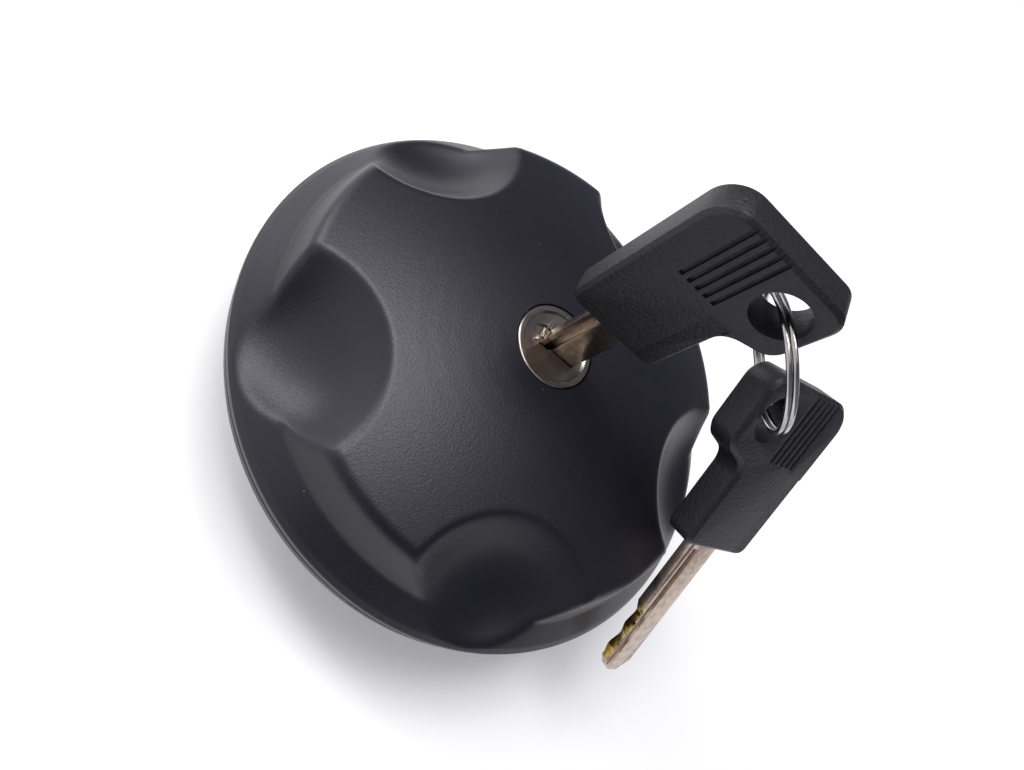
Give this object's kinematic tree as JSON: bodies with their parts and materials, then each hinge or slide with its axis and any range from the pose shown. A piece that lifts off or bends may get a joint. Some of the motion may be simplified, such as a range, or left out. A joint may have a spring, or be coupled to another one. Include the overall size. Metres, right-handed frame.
{
  "type": "locking fuel filler cap",
  "caption": "Round locking fuel filler cap with finger scallops, keyed lock, bayonet insert and a pair of keys on a split ring.",
  "frame": {"origin": "on the cap's axis, at the level of the gasket's seat on the tank neck", "axes": "+Z out along the cap's axis, away from the tank; +X along the keyway with the lock shut, over one scallop; +Y over one bayonet lug"},
  "size_m": [0.116, 0.116, 0.1012],
  "materials": {
    "shell_plastic": "satin, fine grain",
    "ring_plastic": "satin, fine grain",
    "seal_rubber": "matte",
    "insert_metal": "as cast",
    "screw_steel": "zinc plated",
    "housing_metal": "die cast",
    "plug_brass": "turned",
    "face_nickel": "satin nickel",
    "clip_steel": "spring steel",
    "cam_steel": "stamped",
    "bolt_steel": "machined",
    "carrier_plastic": "moulded",
    "vent_plastic": "moulded",
    "spring_steel": "bright",
    "blade_nickel": "nickel plated",
    "head_plastic": "grained",
    "ring_steel": "bright"
  },
  "bodies": {
    "cap": {"outer_shell": "shell_plastic", "base_ring": "ring_plastic", "seal_gasket": "seal_rubber", "bayonet_insert": "insert_metal", "assembly_screws": "screw_steel", "lock_housing": "housing_metal", "housing_screws": "screw_steel", "bolt_carrier": "carrier_plastic", "bolt_covers": "carrier_plastic", "cover_screws": "screw_steel", "vent_body": "vent_plastic", "vent_cap": "vent_plastic", "vent_seal": "seal_rubber", "vent_spring": "spring_steel"},
    "plug": {"lock_plug": "plug_brass", "lock_face": "face_nickel", "wafers": "plug_brass", "plug_clip": "clip_steel", "drive_cam": "cam_steel", "cam_screw": "screw_steel"},
    "bolt_right": {"locking_bolt_right": "bolt_steel"},
    "bolt_left": {"locking_bolt_left": "bolt_steel"},
    "vent": {"vent_poppet": "vent_plastic"},
    "key": {"key_head": "head_plastic", "key_blade": "blade_nickel"},
    "ring": {"split_ring": "ring_steel"},
    "spare_key": {"spare_key_head": "head_plastic", "spare_key_blade": "blade_nickel"}
  },
  "joints": [
    {"name": "lock_turn", "type": "hinge", "parent": "cap", "child": "plug", "pos_m": [0, 0, 0], "axis": [0, 0, 1], "range_deg": [0, 90]},
    {"name": "bolt_right_slide", "type": "slide", "parent": "cap", "child": "bolt_right", "axis": [-1, 0, 0], "range_m": [0, 0.0045]},
    {"name": "bolt_left_slide", "type": "slide", "parent": "cap", "child": "bolt_left", "axis": [1, 0, 0], "range_m": [0, 0.0045]},
    {"name": "vent_lift", "type": "slide", "parent": "cap", "child": "vent", "axis": [0, 0, 1], "range_m": [0, 0.0015], "stiffness_N_per_m": 120, "springref_m": -0.001, "deforming": ["vent_spring"]},
    {"name": "key_withdraw", "type": "slide", "parent": "plug", "child": "key", "axis": [0, 0, 1], "range_m": [0, 0.019]},
    {"name": "ring_swing", "type": "hinge", "parent": "key", "child": "ring", "pos_m": [0.0124, 0, 0.0732], "axis": [0, -1, 0], "range_deg": [0, 60]},
    {"name": "spare_key_swing", "type": "hinge", "parent": "ring", "child": "spare_key", "pos_m": [0.03157, 0, 0.05335], "axis": [0.466, -0.5765, 0.6712], "range_deg": [0, 45]}
  ],
  "couplings": [
    {"joint": "bolt_right_slide", "follows": "lock_turn", "m_per_rad": 0.0028647},
    {"joint": "bolt_left_slide", "follows": "lock_turn", "m_per_rad": 0.0028647}
  ]
}
